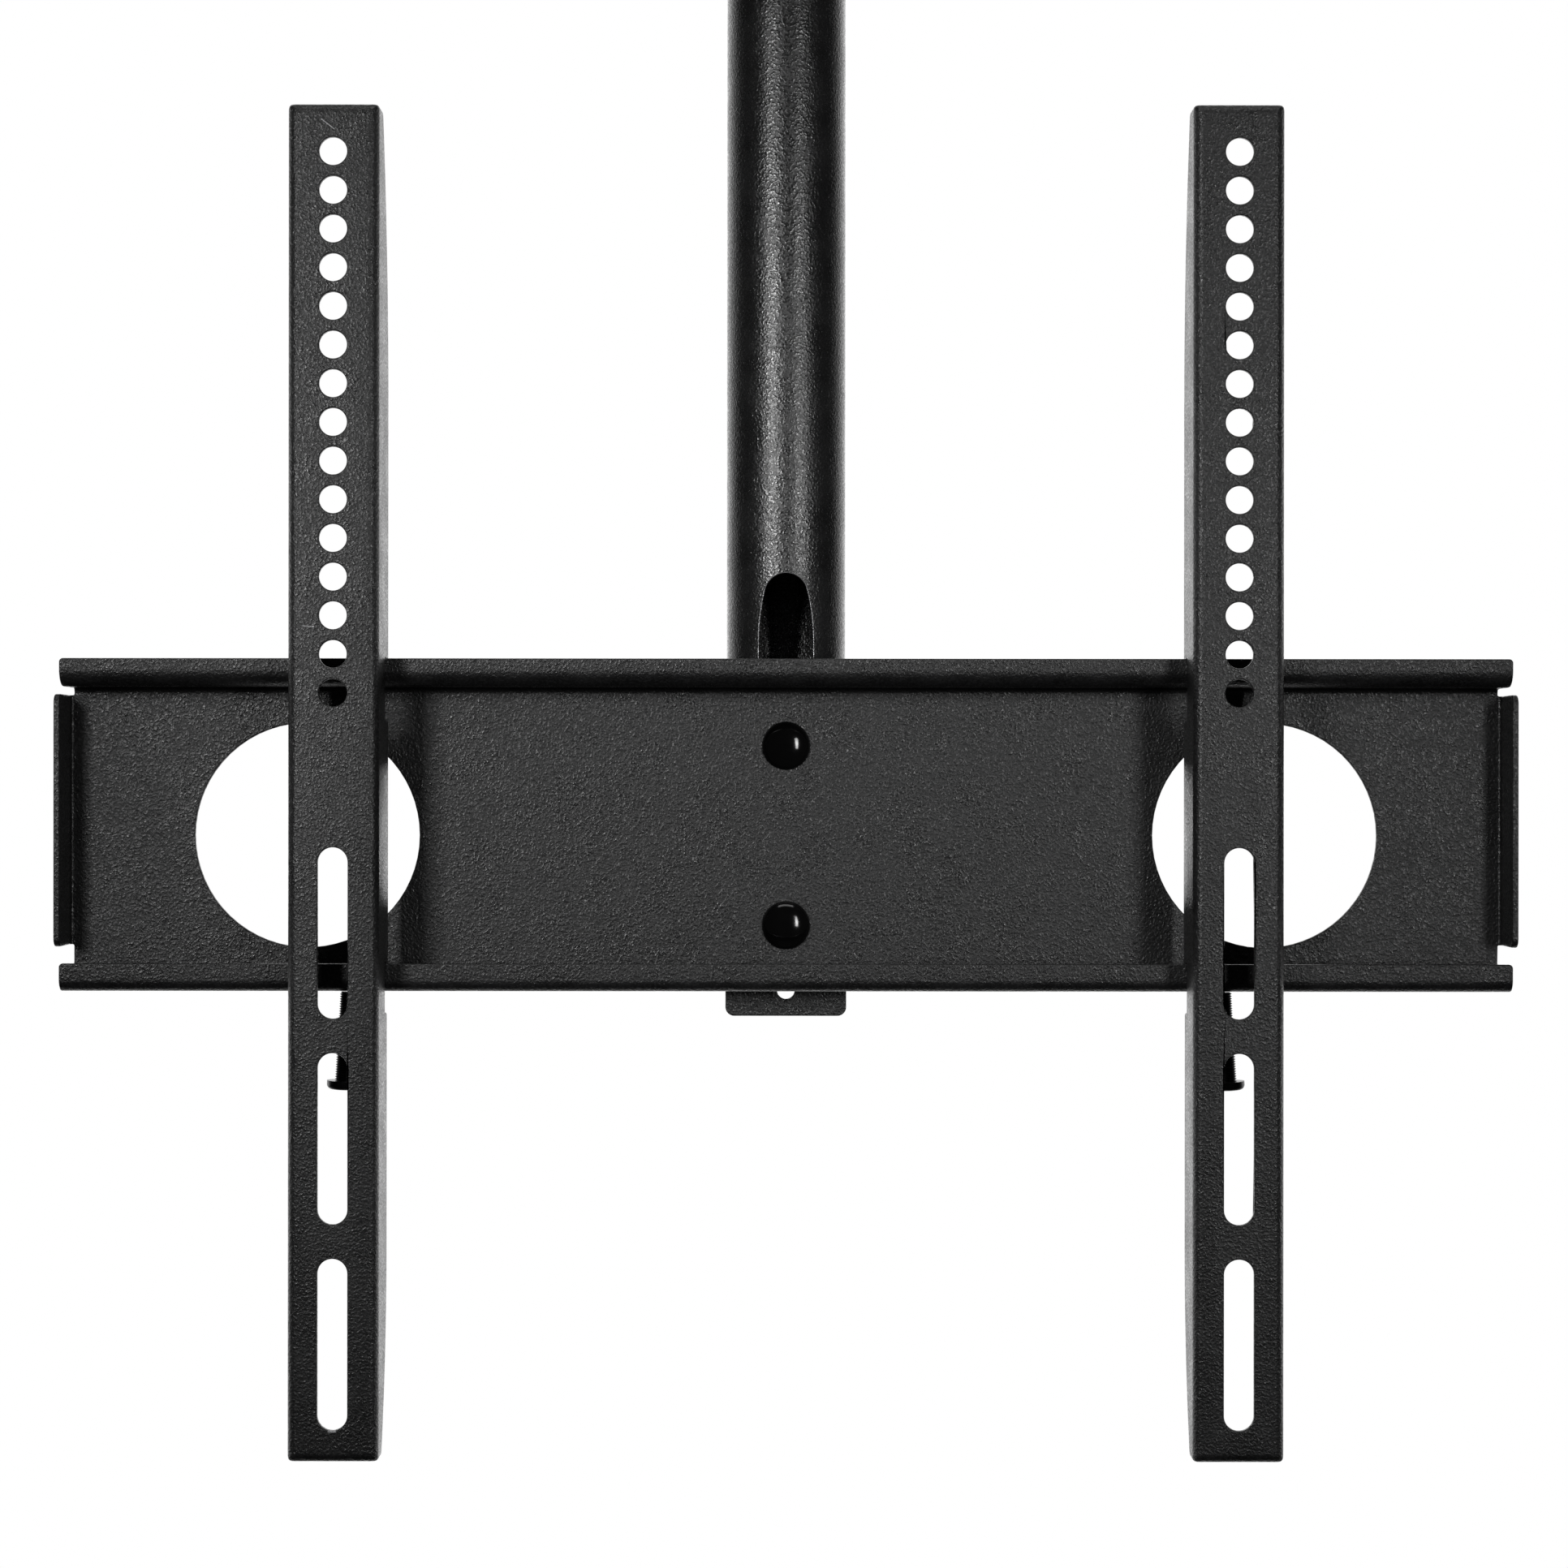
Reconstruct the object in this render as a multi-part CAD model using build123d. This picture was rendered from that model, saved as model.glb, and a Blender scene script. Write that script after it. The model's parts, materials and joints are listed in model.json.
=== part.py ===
from build123d import *

import os
from math import atan2, cos, degrees, radians, tan

# Television ceiling mount, in millimetres. The ceiling is the plane z = 0, the pole hangs along the
# Z axis, and the television side faces -Y. Heights of the lower pieces are counted from the middle of
# the rail plate, and depths of the arms from their front face.

# Overall places
drop = 450.0
reach = 69.4

# Working lengths: how far a cut runs past a face, and the band in which edges are picked by place
cut_past = 2.0
pick_band = 0.1

# Ceiling plate
ceiling_side = 150.0
ceiling_thick = 4.0
ceiling_corner_r = 14.0
ceiling_bolt_spacing = 110.0
ceiling_bolt_hole = 9.0

# Pole, and the collar that it hangs by in the ceiling socket
pole_outer = 42.0
pole_wall = 2.0
pole_tail = 42.0
pole_top_rise = 2.0
collar_wall = 3.6
collar_height = 12.0
collar_fit_gap = 0.1
collar_depth = 24.0
swivel_gap = 0.3
swivel_washer_thick = 2.0
socket_wall = 4.0
socket_floor = 10.0
socket_edge_r = 1.5
set_screw_count = 3
set_screw_dia = 6.0
set_screw_stand = 3.0
set_screw_key = 3.0
set_screw_key_depth = 2.5
thread_gap = 0.05

# Cable opening in the front of the pole
cable_width = 19.0
cable_top = 90.9
cable_bottom = 30.0
cable_crown_r = 7.5
cable_flank = 24.0

# Yoke round the pole and tilt bracket between its legs
yoke_thick = 4.0
yoke_weld_gap = 0.25
yoke_end_r = 14.0
yoke_rise = 17.0
pivot_reach = 42.0
lock_radius = 27.0
tilt_up = 5.0
tilt_down = 15.0
tilt_spare = 1.0
friction_washer_thick = 1.0
friction_washer_outer = 24.0
lock_friction_outer = 18.0
bracket_sheet = 3.0
bracket_bend_r = 4.5
bracket_top = 50.0
bracket_foot = 60.5
bracket_corner_r = 3.0
bracket_relief = 2.0
foot_hole = 5.8
foot_hole_rise = 8.5
ear_end_r = 13.0
ear_rise = 14.0

# M8 bolts and lock nuts of the tilt joint
bolt_dia = 8.0
bolt_hex = 13.0
bolt_head_height = 5.3
bolt_tip_chamfer = 1.0
bolt_spare = 3.0
lock_nut_height = 8.0
lock_nut_collar = 2.4
lock_collar_dia = 11.6
lock_collar_r = 1.2
hex_edge_chamfer = 0.6
washer_outer = 16.0
washer_thick = 1.6
bolt_hole_gap = 0.2
pivot_gap = 0.08
arc_slot_gap = 0.3
spacer_wall = 2.0

# Rail plate
plate_sheet = 2.0
rail_length = 478.4
channel_height = 102.5
rail_depth = 18.0
lip_height = 9.2
rail_bend_r = 4.0
lip_corner_r = 1.3
web_hole = 75.0
web_hole_spacing = 320.0
tab_overhang = 1.8
tab_bend_r = 3.0
tab_top = 46.7
tab_bottom = 36.6
tab_corner_r = 3.0
notch_above_tab = 2.5
notch_below_tab = 6.5

# M6 dome bolts that hold the rail plate on the tilt bracket
plate_bolt_spacing = 60.0
plate_bolt_dia = 6.0
plate_nut_hex = 10.0
plate_nut_height = 5.2
plate_washer_outer = 12.0
dome_dia = 16.2
dome_height = 3.9
neck_gap = 0.1

# Arms
arm_spacing = 293.0
arm_length = 439.5
arm_width = 29.5
arm_sheet = 2.0
arm_bend_r = 3.4
arm_top = 237.2
arm_to_lip = 19.0
arm_top_depth = 12.0
arm_full_depth = 27.0
arm_low_depth = 24.0
arm_end_depth = 10.0
top_taper = 95.0
low_taper = 68.0
arm_hole = 9.0
arm_hole_count = 15
arm_hole_pitch = 12.5
arm_first_hole = 15.6
arm_slot_length = 55.4
arm_slot_width = 9.7
arm_slot_count = 3
arm_slot_pitch = 66.5
arm_first_slot = 268.3

# Hooks of the arms over the lips of the rails
hook_front_gap = 0.4
hook_back_gap = 0.5
hook_seat_gap = 0.3
prong_length = 4.5
prong_corner_r = 1.0
hook_corner_r = 0.5
relief_corner_r = 1.5
upper_relief = 11.25
lower_relief = 7.05

# Lock screw of each arm and the lug that holds it
screw_dia = 5.0
screw_length = 29.4
screw_head_dia = 10.0
screw_head_height = 2.9
screw_crown = 1.7
screw_tip_chamfer = 0.5
screw_tip_gap = 0.35
screw_depth = 24.5
screw_inset = 1.0
screw_lean = 3.5
lug_thick = 2.0
lug_drop = 12.75
lug_margin = 3.0

# Places worked out from the sizes above
pole_r = pole_outer / 2
collar_r = pole_r + collar_fit_gap + collar_wall
socket_bore_r = pole_r + swivel_gap
socket_recess_r = collar_r + swivel_gap
socket_r = socket_recess_r + socket_wall
socket_top = -ceiling_thick
collar_top = socket_top - collar_depth
collar_bottom = collar_top - collar_height
socket_seat = collar_bottom - swivel_washer_thick
socket_bottom = socket_seat - socket_floor
pole_top = collar_top + pole_top_rise
pole_bottom = -drop - pole_tail

yoke_inner = pole_r + yoke_weld_gap
yoke_outer = yoke_inner + yoke_thick
ear_outer = yoke_inner - friction_washer_thick
ear_inner = ear_outer - bracket_sheet
bolt_r = bolt_dia / 2
plate_bolt_r = plate_bolt_dia / 2
pivot_y = -pivot_reach
pivot_z = -drop
lock_z = pivot_z - lock_radius

web_front = -reach
web_back = web_front + plate_sheet
bracket_back = web_back + bracket_sheet
lip_front = web_front - rail_depth
channel_top = -drop + channel_height / 2
channel_bottom = -drop - channel_height / 2
upper_lip_top = channel_top - plate_sheet + lip_height
lower_lip_top = channel_bottom + lip_height
rail_end = rail_length / 2
tab_face = rail_end + tab_overhang

arm_face = lip_front - arm_to_lip
arm_end_z = -drop + arm_top
screw_r = screw_dia / 2
sides = (-1, 1)


def cylinder(radius, height):
    """Cylinder on the Z axis that stands on z = 0."""
    return Cylinder(radius, height, align=(Align.CENTER, Align.CENTER, Align.MIN))


def ring(outer_r, inner_r, height):
    """Flat ring on the Z axis that stands on z = 0."""
    return cylinder(outer_r, height) - cylinder(inner_r, height)


def along_x(x, y, z):
    """Place that turns the Z axis into +X."""
    return Location((x, y, z), (0, 90, 0))


def along_y(x, y, z):
    """Place that turns the Z axis into +Y."""
    return Location((x, y, z), (-90, 0, 0))


def span(x0, x1, y0, y1, z0, z1):
    """Block between two corners."""
    block = Box(x1 - x0, y1 - y0, z1 - z0, align=(Align.MIN, Align.MIN, Align.MIN))
    return Pos(x0, y0, z0) * block


def folded_sheet(points, bend_mid_r, thickness):
    """Face of a folded sheet's section, from the middle line of the sheet."""
    return trace(FilletPolyline(*points, radius=bend_mid_r), thickness)


def hexagon(across, height):
    """Hexagon bar with its outer corners turned off at both ends."""
    bar = extrude(RegularPolygon(across / 2, 6, major_radius=False), height)
    blank = chamfer(cylinder(across / 2 / cos(radians(30)), height).edges().filter_by(GeomType.CIRCLE),
                    hex_edge_chamfer)
    return bar & blank


def hex_bolt(length):
    """Hexagon bolt, its head below z = 0 and its shank above."""
    shank = chamfer(cylinder(bolt_r, length).edges().sort_by(Axis.Z)[-1], bolt_tip_chamfer)
    return shank + Pos(0, 0, -bolt_head_height) * hexagon(bolt_hex, bolt_head_height)


def lock_nut():
    """Lock nut on the Z axis that stands on z = 0, with a round collar for its insert."""
    collar = cylinder(lock_collar_dia / 2, lock_nut_height)
    collar = fillet(collar.edges().sort_by(Axis.Z)[-1], lock_collar_r)
    body = hexagon(bolt_hex, lock_nut_height - lock_nut_collar) + collar
    return body - cylinder(bolt_r + thread_gap, lock_nut_height)


def ceiling_plate():
    """Square plate against the ceiling, bored for the collar and for four bolts."""
    spacing = ceiling_bolt_spacing
    outline = RectangleRounded(ceiling_side, ceiling_side, ceiling_corner_r)
    holes = GridLocations(spacing, spacing, 2, 2) * Circle(ceiling_bolt_hole / 2)
    face = outline - Circle(socket_recess_r) - holes
    return extrude(Plane.XY.offset(-ceiling_thick) * face, ceiling_thick)


def set_screw_places():
    """Places of the set screws, with Z pointing outwards from the collar."""
    height = (collar_top + collar_bottom) / 2
    turn = 360 / set_screw_count
    start = Location((0, 0, height), (0, 0, 90))
    return [start * Rot(0, 0, i * turn) * along_x(collar_r + swivel_gap, 0, 0) for i in range(set_screw_count)]


def ceiling_socket():
    """Turned cup under the ceiling plate that the collar turns in."""
    height = socket_top - socket_bottom
    blank = cylinder(socket_r, height)
    blank = fillet(blank.edges().sort_by(Axis.Z)[0], socket_edge_r)
    bore = cylinder(socket_bore_r, height)
    recess = Pos(0, 0, socket_floor) * cylinder(socket_recess_r, height)
    cup = Pos(0, 0, socket_bottom) * (blank - bore - recess)
    tap = cylinder(set_screw_dia / 2 + thread_gap, socket_wall + cut_past)
    taps = [place * tap for place in set_screw_places()]
    return cup - taps


def set_screws():
    """Grub screws through the socket that clamp the collar."""
    length = socket_wall + set_screw_stand
    key = extrude(RegularPolygon(set_screw_key / 2, 6, major_radius=False), set_screw_key_depth)
    screw = cylinder(set_screw_dia / 2, length) - Pos(0, 0, length - set_screw_key_depth) * key
    return Compound([place * screw for place in set_screw_places()])


def swivel_washer():
    """Nylon ring that the collar turns on."""
    return Pos(0, 0, socket_seat) * ring(collar_r, socket_bore_r, swivel_washer_thick)


def pole_collar():
    """Ring welded round the pole's top."""
    return Pos(0, 0, collar_bottom) * ring(collar_r, pole_r + collar_fit_gap, collar_height)


def cable_opening():
    """Cut for the cables: round crown, bowed flanks, straight sides and a round lower end."""
    half = cable_width / 2
    top = -drop + cable_top
    shoulder = top - cable_flank
    rise = cable_flank - cable_crown_r
    flank_r = (half**2 + rise**2 - cable_crown_r**2) / (2 * (half - cable_crown_r))
    lean = degrees(atan2(rise, flank_r - half))
    low = -drop + cable_bottom + half
    outline = [
        CenterArc((half - flank_r, shoulder), flank_r, 0, lean),
        CenterArc((0, top - cable_crown_r), cable_crown_r, lean, 180 - 2 * lean),
        CenterArc((flank_r - half, shoulder), flank_r, 180 - lean, lean),
        Line((-half, shoulder), (-half, low)),
        CenterArc((0, low), half, 180, 180),
        Line((half, low), (half, shoulder)),
    ]
    return extrude(Plane.XZ * make_face(outline), 2 * pole_r)


def pole():
    """Round tube with the cable opening in its front."""
    tube = ring(pole_r, pole_r - pole_wall, pole_top - pole_bottom)
    return Pos(0, 0, pole_bottom) * tube - cable_opening()


def tilt_yoke():
    """Strap bent round the back of the pole, with a pivot hole and a curved slot in each leg."""
    mid = (yoke_inner + yoke_outer) / 2
    front = pivot_y - yoke_end_r
    strap = Line((mid, front), (mid, 0)) + CenterArc((0, 0), mid, 0, 180) + Line((-mid, 0), (-mid, front))
    bottom = lock_z - yoke_end_r
    height = pivot_z + yoke_rise - bottom
    blank = extrude(Plane.XY.offset(bottom) * trace(strap, yoke_thick), height)
    ends = blank.edges().filter_by(Axis.X).filter_by_position(Axis.Y, front - pick_band, front + pick_band)
    blank = fillet(ends, yoke_end_r)
    sweep_angle = tilt_up + tilt_down + 2 * tilt_spare
    path = CenterArc((pivot_y, pivot_z), lock_radius, 270 - tilt_up - tilt_spare, sweep_angle)
    curved = SlotArc(path, bolt_dia + 2 * arc_slot_gap)
    cut = extrude(Plane.YZ * (curved + Pos(pivot_y, pivot_z) * Circle(bolt_r + bolt_hole_gap)),
                  2 * yoke_outer, both=True)
    return blank - cut


def tilt_bracket():
    """Folded bracket: a wall bolted behind the rail plate, and two ears between the yoke's legs."""
    mid = (ear_inner + ear_outer) / 2
    wall_mid = (web_back + bracket_back) / 2
    ear_back = pivot_y + ear_end_r
    ear_top = pivot_z + ear_rise
    ear_bottom = lock_z - ear_rise
    section = folded_sheet([(mid, ear_back), (mid, wall_mid), (-mid, wall_mid), (-mid, ear_back)],
                           bracket_bend_r - bracket_sheet / 2, bracket_sheet)
    ears = extrude(Plane.XY.offset(ear_bottom) * section, ear_top - ear_bottom)
    ends = ears.edges().filter_by(Axis.X).filter_by_position(Axis.Y, ear_back - pick_band, ear_back + pick_band)
    ears = fillet(ends, ear_end_r - bracket_relief / 2)

    height = bracket_top + bracket_foot
    middle = -drop + (bracket_top - bracket_foot) / 2
    wall = RectangleRounded(2 * ear_outer, height, bracket_corner_r)
    wall = extrude(Plane.XZ.offset(-bracket_back) * Pos(0, middle) * wall, bracket_sheet)
    bend = ear_outer - bracket_bend_r
    for side in sides:
        edge = sorted((side * bend, side * 2 * ear_outer))
        wall -= span(*edge, web_front, pivot_y, ear_bottom - bracket_relief, ear_top + bracket_relief)

    pivot_holes = along_x(-yoke_outer, pivot_y, pivot_z) * cylinder(bolt_r + pivot_gap, 2 * yoke_outer)
    lock_holes = along_x(-yoke_outer, pivot_y, lock_z) * cylinder(bolt_r + bolt_hole_gap, 2 * yoke_outer)
    wall_depth = plate_sheet + bracket_sheet + cut_past
    foot = along_y(0, web_front, -drop - bracket_foot + foot_hole_rise) * cylinder(foot_hole / 2, wall_depth)
    plate_hole = cylinder(plate_bolt_r + bolt_hole_gap, wall_depth)
    plate_holes = [place * plate_hole for place in plate_bolt_places()]
    return ears + wall - pivot_holes - lock_holes - foot - plate_holes


def through_bolt(height):
    """Hexagon bolt across both legs of the yoke at a height."""
    length = 2 * (yoke_outer + washer_thick) + lock_nut_height + bolt_spare
    return along_x(-yoke_outer - washer_thick, pivot_y, height) * hex_bolt(length)


def through_nut(height):
    """Lock nut of a through bolt."""
    return along_x(yoke_outer + washer_thick, pivot_y, height) * lock_nut()


def through_washers(height):
    """Steel washers under the head and the nut of a through bolt."""
    washer = ring(washer_outer / 2, bolt_r + bolt_hole_gap, washer_thick)
    starts = (-yoke_outer - washer_thick, yoke_outer)
    return Compound([along_x(x, pivot_y, height) * washer for x in starts])


def friction_washers():
    """Nylon washers between the ears and the legs, at the pivot and at the lock bolt."""
    washers = []
    for height, outer in ((pivot_z, friction_washer_outer), (lock_z, lock_friction_outer)):
        washer = ring(outer / 2, bolt_r + arc_slot_gap, friction_washer_thick)
        washers += [along_x(x, pivot_y, height) * washer for x in (-yoke_inner, ear_outer)]
    return Compound(washers)


def pivot_spacer():
    """Tube on the pivot bolt that keeps the ears apart."""
    tube = ring(bolt_r + arc_slot_gap + spacer_wall, bolt_r + arc_slot_gap, 2 * ear_inner)
    return along_x(-ear_inner, pivot_y, pivot_z) * tube


def rail_section():
    """Section of the rail plate: web, two forward flanges, and a lip turned up at the end of each."""
    half = plate_sheet / 2
    lip = lip_front + half
    web = web_front + half
    points = [(lip, lower_lip_top), (lip, channel_bottom + half), (web, channel_bottom + half),
              (web, channel_top - half), (lip, channel_top - half), (lip, upper_lip_top)]
    return folded_sheet(points, rail_bend_r - half, plate_sheet)


def end_tab(side):
    """Tab folded forward from one end of the web, as a stop for the arms."""
    half = plate_sheet / 2
    start = tab_face - tab_bend_r
    points = [(side * (start - tab_bend_r), web_front + half), (side * (tab_face - half), web_front + half),
              (side * (tab_face - half), lip_front)]
    tab = extrude(Plane.XY.offset(-drop - tab_bottom) * folded_sheet(points, tab_bend_r - half, plate_sheet),
                  tab_bottom + tab_top)
    ends = tab.edges().filter_by(Axis.X)
    corners = ends.filter_by_position(Axis.Y, lip_front - pick_band, lip_front + pick_band)
    return fillet(corners, tab_corner_r)


def plate_bolt_places():
    """Places of the two plate bolts on the front of the web, with Z pointing backwards."""
    return [along_y(0, web_front, -drop + side * plate_bolt_spacing / 2) for side in sides]


def rail_plate():
    """One folded sheet that carries the arms."""
    sheet = extrude(Plane.YZ * rail_section(), rail_end, both=True)
    lip_ends = ShapeList()
    for height in (upper_lip_top, lower_lip_top):
        across = sheet.edges().filter_by(Axis.Y)
        lip_ends += across.filter_by_position(Axis.Z, height - pick_band, height + pick_band)
    sheet = fillet(lip_ends, lip_corner_r)
    for side in sides:
        ends = sorted((side * (tab_face - tab_bend_r), side * 2 * rail_end))
        low = -drop - tab_bottom - notch_below_tab
        high = -drop + tab_top + notch_above_tab
        sheet -= span(*ends, web_front - cut_past, web_back + cut_past, low, high)
        sheet += end_tab(side)
        spot = along_y(side * web_hole_spacing / 2, web_front - cut_past, -drop)
        sheet -= spot * cylinder(web_hole / 2, plate_sheet + 2 * cut_past)
    neck_side = plate_bolt_dia + 2 * neck_gap
    square = extrude(Rectangle(neck_side, neck_side), plate_sheet + cut_past)
    return sheet - [place * square for place in plate_bolt_places()]


def plate_bolts():
    """Bolts with a square neck in the web and a head like half a flattened ball."""
    dome_r = dome_dia / 2
    ball = Sphere(dome_r, arc_size2=0, align=(Align.CENTER, Align.CENTER, Align.MAX))
    head = scale(ball, by=(1, 1, dome_height / dome_r))
    neck = extrude(Rectangle(plate_bolt_dia, plate_bolt_dia), plate_sheet)
    length = plate_sheet + bracket_sheet + washer_thick + plate_nut_height + bolt_spare
    shank = chamfer(cylinder(plate_bolt_r, length).edges().sort_by(Axis.Z)[-1], bolt_tip_chamfer)
    bolt = head + neck + shank
    return Compound([place * bolt for place in plate_bolt_places()])


def plate_washers():
    """Washers behind the tilt bracket's wall."""
    washer = ring(plate_washer_outer / 2, plate_bolt_r + bolt_hole_gap, washer_thick)
    seat = Pos(0, 0, plate_sheet + bracket_sheet)
    return Compound([place * seat * washer for place in plate_bolt_places()])


def plate_nuts():
    """Nuts of the plate bolts."""
    nut = hexagon(plate_nut_hex, plate_nut_height) - cylinder(plate_bolt_r + thread_gap, plate_nut_height)
    seat = Pos(0, 0, plate_sheet + bracket_sheet + washer_thick)
    return Compound([place * seat * nut for place in plate_bolt_places()])


def tray(inset):
    """Closed block of an arm's outer form, or of its hollow when inset by the sheet."""
    corner = max(arm_bend_r - inset, arm_sheet / 4)
    outline = RectangleRounded(arm_width - 2 * inset, arm_length - 2 * inset, corner)
    middle = arm_end_z - arm_length / 2
    block = extrude(Plane.XZ.offset(-arm_face - arm_full_depth) * Pos(0, middle) * outline,
                    arm_full_depth - inset)
    return fillet(block.faces().sort_by(Axis.Y)[0].edges(), corner)


def arm_profile():
    """Side view of an arm: tapered ends, and a hook over each lip with room to lift the arm off."""
    face = arm_face
    deep = face + arm_full_depth
    low = face + arm_low_depth
    slot_front = lip_front - hook_front_gap
    slot_back = lip_front + plate_sheet + hook_back_gap
    upper_seat = upper_lip_top + hook_seat_gap
    lower_seat = lower_lip_top + hook_seat_gap
    upper_step = channel_top - plate_sheet - upper_relief
    lower_step = channel_bottom - lower_relief
    foot = arm_end_z - arm_length
    taper_top = (deep, arm_end_z - top_taper)
    taper_low = (low, foot + low_taper)
    points = [taper_top]
    for seat, step, back in ((upper_seat, upper_step, deep), (lower_seat, lower_step, low)):
        points += [(deep, seat - prong_length), (slot_back, seat - prong_length), (slot_back, seat),
                   (slot_front, seat), (slot_front, step), (back, step)]
    points.append(taper_low)
    corners = [prong_corner_r] * 2 + [hook_corner_r] * 2 + [relief_corner_r, prong_corner_r]
    hooks = FilletPolyline(*points, radius=2 * corners)
    ends = [
        TangentArc(taper_low, (face + arm_end_depth, foot), tangent=(0, -1)),
        Polyline((face + arm_end_depth, foot), (face, foot), (face, arm_end_z),
                 (face + arm_top_depth, arm_end_z)),
        TangentArc(taper_top, (face + arm_top_depth, arm_end_z), tangent=(0, 1)),
    ]
    return extrude(Plane.YZ * make_face([hooks] + ends), arm_width, both=True)


def screw_place(side):
    """Foot of a lock screw's tip, with Z along the screw, pointing up and a little inwards."""
    lug_top = channel_bottom - lug_drop
    tip = channel_bottom - screw_tip_gap
    x = arm_spacing / 2 - screw_inset - (tip - lug_top) * tan(radians(screw_lean))
    return Location((side * x, arm_face + screw_depth, tip), (0, -side * screw_lean, 0))


def lug(side):
    """Lug folded inwards from the arm's inner flange, square to the lock screw."""
    reach_in = (arm_width - arm_sheet) / 2 - screw_inset
    radius = screw_r + lug_margin
    block = extrude(Circle(radius) + Pos(-side * reach_in / 2, 0) * Rectangle(reach_in, 2 * radius), -lug_thick)
    return screw_place(side) * Pos(0, 0, screw_tip_gap - lug_drop) * block


def arm(side):
    """Folded tray with its hole row, slots, hooks and the lug for its lock screw."""
    x = side * arm_spacing / 2
    body = (tray(0) - tray(arm_sheet)) & arm_profile()
    holes = [Pos(0, arm_end_z - arm_first_hole - i * arm_hole_pitch) * Circle(arm_hole / 2)
             for i in range(arm_hole_count)]
    slots = [Pos(0, arm_end_z - arm_first_slot - i * arm_slot_pitch) * Rot(0, 0, 90)
             * SlotOverall(arm_slot_length, arm_slot_width) for i in range(arm_slot_count)]
    inside = Plane.XZ.offset(-arm_face - arm_sheet - cut_past)
    cut = extrude(inside * Sketch(children=holes + slots), arm_sheet + 2 * cut_past)
    tap = screw_place(side) * Pos(0, 0, -screw_length) * cylinder(screw_r + thread_gap, screw_length)
    return Pos(x, 0, 0) * (body - cut) + lug(side) - tap


def lock_screw(side):
    """Pan head screw with its head down and its tip under the lower rail."""
    shank = chamfer(cylinder(screw_r, screw_length).edges().sort_by(Axis.Z)[-1], screw_tip_chamfer)
    head = cylinder(screw_head_dia / 2, screw_head_height)
    head = fillet(head.edges().sort_by(Axis.Z)[0], screw_crown)
    screw = shank + Pos(0, 0, -screw_head_height) * head
    return screw_place(side) * Pos(0, 0, -screw_length) * screw


nodes = {
    "ceiling_plate": ceiling_plate(),
    "ceiling_socket": ceiling_socket(),
    "swivel_set_screws": set_screws(),
    "swivel_washer": swivel_washer(),
    "pole_collar": pole_collar(),
    "pole": pole(),
    "tilt_yoke": tilt_yoke(),
    "pivot_bolt": through_bolt(pivot_z),
    "pivot_nut": through_nut(pivot_z),
    "pivot_washers": through_washers(pivot_z),
    "friction_washers": friction_washers(),
    "pivot_spacer": pivot_spacer(),
    "tilt_bracket": tilt_bracket(),
    "tilt_lock_bolt": through_bolt(lock_z),
    "tilt_lock_nut": through_nut(lock_z),
    "tilt_lock_washers": through_washers(lock_z),
    "rail_plate": rail_plate(),
    "plate_bolts": plate_bolts(),
    "plate_washers": plate_washers(),
    "plate_nuts": plate_nuts(),
    "left_arm": arm(-1),
    "right_arm": arm(1),
    "left_lock_screw": lock_screw(-1),
    "right_lock_screw": lock_screw(1),
}

os.makedirs("parts", exist_ok=True)
for name, shape in nodes.items():
    export_step(shape, f"parts/{name}.step")
    print(name, round(shape.volume, 1))
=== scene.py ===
# %% [markdown]
# # A ceiling mount for a flat screen
# The mount hangs from a ceiling plate: a round pole carries a tilt bracket, the bracket carries a folded
# rail plate, and two slotted arms hook over the rails. Nearly all of it is folded steel sheet under one
# black powder coat, so the lesson is mostly about that coat, about soft edges on sheet metal and about
# the few turned and threaded fasteners.
#
# The packed model comes in first. Its pieces are already in their true places, in metres, with the
# ceiling at z = 0 and the screen side facing -Y. Everything below is measured from them.

# %% Load the packed model
import json
import math

import bmesh
import bpy
import numpy as np
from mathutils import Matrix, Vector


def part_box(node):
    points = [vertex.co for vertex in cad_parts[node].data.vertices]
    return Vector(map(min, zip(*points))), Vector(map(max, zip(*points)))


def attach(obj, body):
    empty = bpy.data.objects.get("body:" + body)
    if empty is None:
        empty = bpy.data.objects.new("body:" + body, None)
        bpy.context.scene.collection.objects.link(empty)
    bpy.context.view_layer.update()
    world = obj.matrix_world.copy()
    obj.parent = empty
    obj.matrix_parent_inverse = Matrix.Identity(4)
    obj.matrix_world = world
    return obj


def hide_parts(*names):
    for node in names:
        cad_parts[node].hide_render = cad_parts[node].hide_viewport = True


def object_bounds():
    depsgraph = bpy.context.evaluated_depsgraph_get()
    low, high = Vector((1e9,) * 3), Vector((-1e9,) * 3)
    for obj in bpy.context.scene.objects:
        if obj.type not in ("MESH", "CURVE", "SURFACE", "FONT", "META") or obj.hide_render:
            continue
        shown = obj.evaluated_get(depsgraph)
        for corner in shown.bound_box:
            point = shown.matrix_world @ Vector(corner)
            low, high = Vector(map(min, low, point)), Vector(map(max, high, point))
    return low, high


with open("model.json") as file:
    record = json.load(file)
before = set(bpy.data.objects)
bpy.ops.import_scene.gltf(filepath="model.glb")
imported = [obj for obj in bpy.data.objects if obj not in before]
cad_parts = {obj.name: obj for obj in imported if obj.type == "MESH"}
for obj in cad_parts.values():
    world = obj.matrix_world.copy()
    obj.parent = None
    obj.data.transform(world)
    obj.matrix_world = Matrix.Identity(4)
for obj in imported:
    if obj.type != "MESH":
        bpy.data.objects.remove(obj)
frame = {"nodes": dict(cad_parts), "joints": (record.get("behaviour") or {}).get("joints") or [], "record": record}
cad_low, cad_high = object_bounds()
joints = {joint["name"]: joint for joint in frame["joints"]}
bodies = frame["record"]["behaviour"]["bodies"]
body_of_node = {node: body for body, nodes in bodies.items() for node in nodes}
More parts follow.
